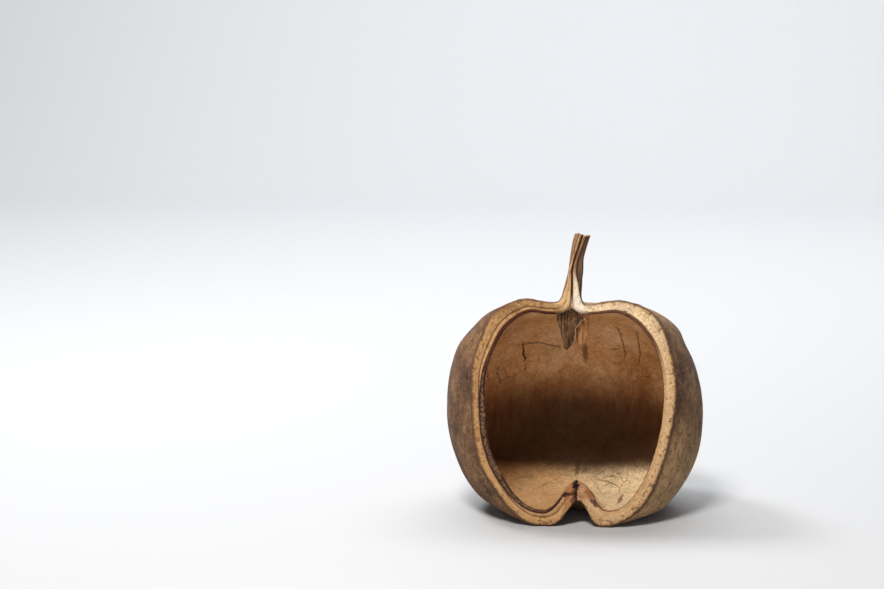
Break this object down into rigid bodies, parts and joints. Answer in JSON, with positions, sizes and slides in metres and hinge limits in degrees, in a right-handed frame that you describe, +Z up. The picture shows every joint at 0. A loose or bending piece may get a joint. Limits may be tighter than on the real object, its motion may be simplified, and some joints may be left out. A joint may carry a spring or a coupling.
{
  "type": "buddha nut",
  "caption": "Dry woody half shell of a winged-seed tree's fruit, with a ridged stalk, a pale rim and a deep hollow open at the front.",
  "frame": {"origin": "middle of the small flat spot on the underside that the shell rests on, under its weight", "axes": "+Z up along the shell towards its stalk, -Y out of the hollow, +X to the right of someone who looks into it"},
  "size_m": [0.1235, 0.0986, 0.1365],
  "materials": {
    "husk": "dry, matte and felt-like grey-brown outside, pale corky rim, smooth leathery tan inside"
  },
  "bodies": {
    "root": {"nut_shell": "husk"}
  },
  "joints": []
}
